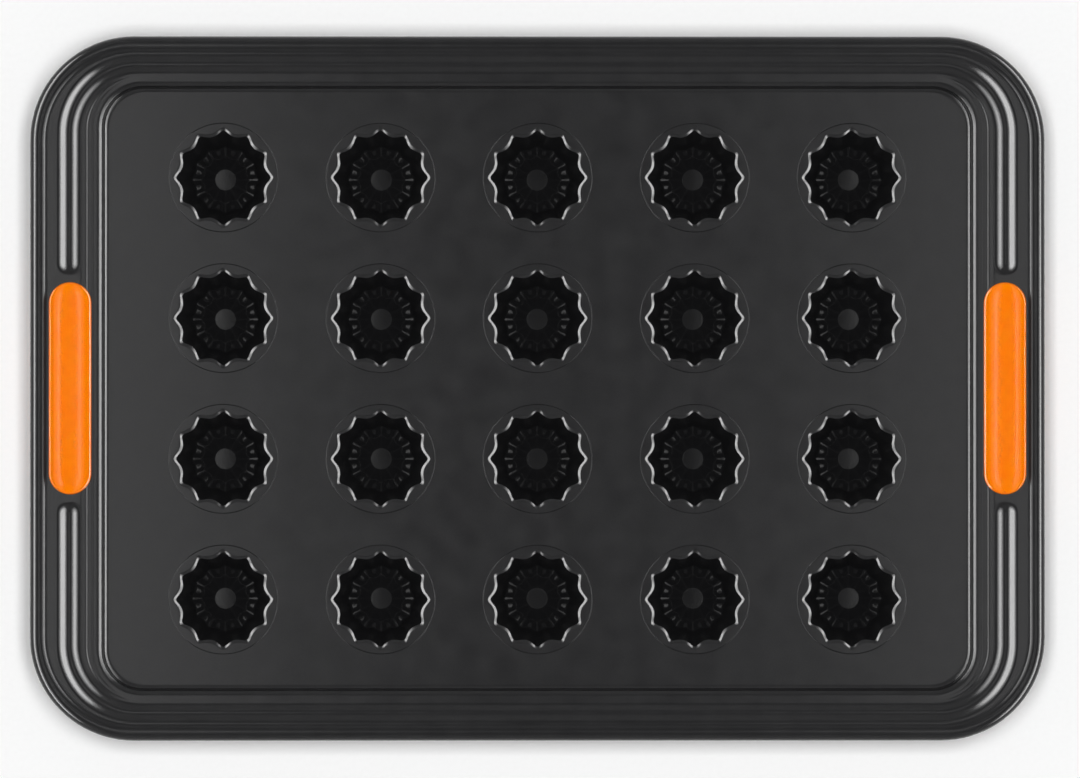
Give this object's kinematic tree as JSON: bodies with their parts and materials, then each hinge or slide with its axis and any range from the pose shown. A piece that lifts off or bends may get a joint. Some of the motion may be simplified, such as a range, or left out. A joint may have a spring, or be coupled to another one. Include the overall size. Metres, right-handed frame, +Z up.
{
  "type": "mini canele pan",
  "caption": "Rectangular baking pan with rows of small fluted wells, a raised flange with a rolled edge, and a silicone grip in each short side.",
  "frame": {"origin": "centre of the pan in plan, on the plane that the undersides of the cups stand on", "axes": "+X along the pan's length, +Y across it, +Z up out of the wells"},
  "size_m": [0.4, 0.2776, 0.0371],
  "materials": {
    "non_stick_coated_steel": "dark grey satin non-stick coating on steel sheet",
    "steel_wire": "drawn",
    "orange_silicone": "moulded satin silicone"
  },
  "bodies": {
    "root": {"tray": "non_stick_coated_steel", "cup_r1_c1": "non_stick_coated_steel", "cup_r1_c2": "non_stick_coated_steel", "cup_r1_c3": "non_stick_coated_steel", "cup_r1_c4": "non_stick_coated_steel", "cup_r1_c5": "non_stick_coated_steel", "cup_r2_c1": "non_stick_coated_steel", "cup_r2_c2": "non_stick_coated_steel", "cup_r2_c3": "non_stick_coated_steel", "cup_r2_c4": "non_stick_coated_steel", "cup_r2_c5": "non_stick_coated_steel", "cup_r3_c1": "non_stick_coated_steel", "cup_r3_c2": "non_stick_coated_steel", "cup_r3_c3": "non_stick_coated_steel", "cup_r3_c4": "non_stick_coated_steel", "cup_r3_c5": "non_stick_coated_steel", "cup_r4_c1": "non_stick_coated_steel", "cup_r4_c2": "non_stick_coated_steel", "cup_r4_c3": "non_stick_coated_steel", "cup_r4_c4": "non_stick_coated_steel", "cup_r4_c5": "non_stick_coated_steel", "rim_wire": "steel_wire", "grip_left": "orange_silicone", "grip_right": "orange_silicone"}
  },
  "joints": []
}
